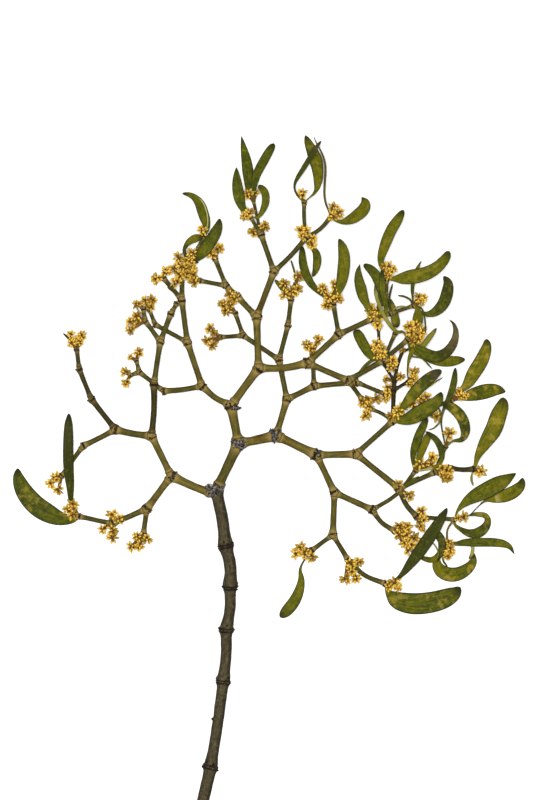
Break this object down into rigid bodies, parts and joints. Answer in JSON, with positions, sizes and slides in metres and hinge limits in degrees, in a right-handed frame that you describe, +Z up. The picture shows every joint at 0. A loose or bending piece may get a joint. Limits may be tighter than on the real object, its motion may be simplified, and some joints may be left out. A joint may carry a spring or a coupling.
{
  "type": "mistletoe sprig",
  "caption": "Cut sprig of flowering mistletoe lying flat: a ringed woody stem that forks into slender shoots, with leathery strap-shaped leaves and small golden flower groups.",
  "frame": {"origin": "on the surface that the sprig lies on, under the middle of its outline", "axes": "+X across the sprig, +Y from the cut end of the stem towards the shoot tips, +Z up from the surface"},
  "size_m": [0.3838, 0.5132, 0.0494],
  "materials": {
    "old_bark": "matte grey-brown bark with dark rings",
    "young_bark": "satin olive-yellow bark",
    "leaf": "leathery satin, olive green with yellow mottling",
    "flower": "matte golden yellow, fleshy"
  },
  "bodies": {
    "root": {"stem_main": "old_bark", "shoot_centre": "young_bark", "shoot_left": "young_bark", "shoot_left_arm": "young_bark", "shoot_left_arm_low": "young_bark", "shoot_left_low": "young_bark", "shoot_back": "young_bark", "shoot_back_tip": "young_bark", "shoot_under": "young_bark", "shoot_cross": "young_bark", "shoot_inner": "young_bark", "shoot_top_right": "young_bark", "shoot_right": "young_bark", "shoot_bud": "young_bark", "shoot_low_fork": "young_bark", "shoot_far": "young_bark", "shoot_far_tip": "young_bark", "shoot_far_low": "young_bark", "shoot_side": "young_bark", "shoot_side_out": "young_bark", "shoot_low_out": "young_bark", "shoot_low_out_high": "young_bark", "shoot_bottom": "young_bark", "shoot_bottom_low": "young_bark", "leaf_left_upright": "leaf", "leaf_left_broad": "leaf", "leaf_top_bent": "leaf", "leaf_top_slim": "leaf", "leaf_top_tall": "leaf", "leaf_top_spread": "leaf", "leaf_crest_flat": "leaf", "leaf_crest_side": "leaf", "leaf_far_upright": "leaf", "leaf_far_outer": "leaf", "leaf_far_bright": "leaf", "leaf_crest_right": "leaf", "leaf_curved_grey": "leaf", "leaf_edge_curved": "leaf", "leaf_edge_flat": "leaf", "leaf_high_outer": "leaf", "leaf_low_outer": "leaf", "leaf_side_flat": "leaf", "leaf_outer_tall": "leaf", "leaf_inner_tall": "leaf", "leaf_outer_flat": "leaf", "leaf_outer_folded": "leaf", "leaf_lower_dark": "leaf", "leaf_lower_cupped": "leaf", "leaf_bottom_broad": "leaf", "leaf_bottom_hanging": "leaf", "flowers_back": "flower", "flowers_inner_left": "flower", "flowers_crest": "flower", "flowers_far_right": "flower", "flowers_edge": "flower", "flowers_side": "flower", "flowers_far_top": "flower", "flowers_bottom_out": "flower", "flowers_bottom_low": "flower", "flowers_left_end": "flower"}
  },
  "joints": []
}
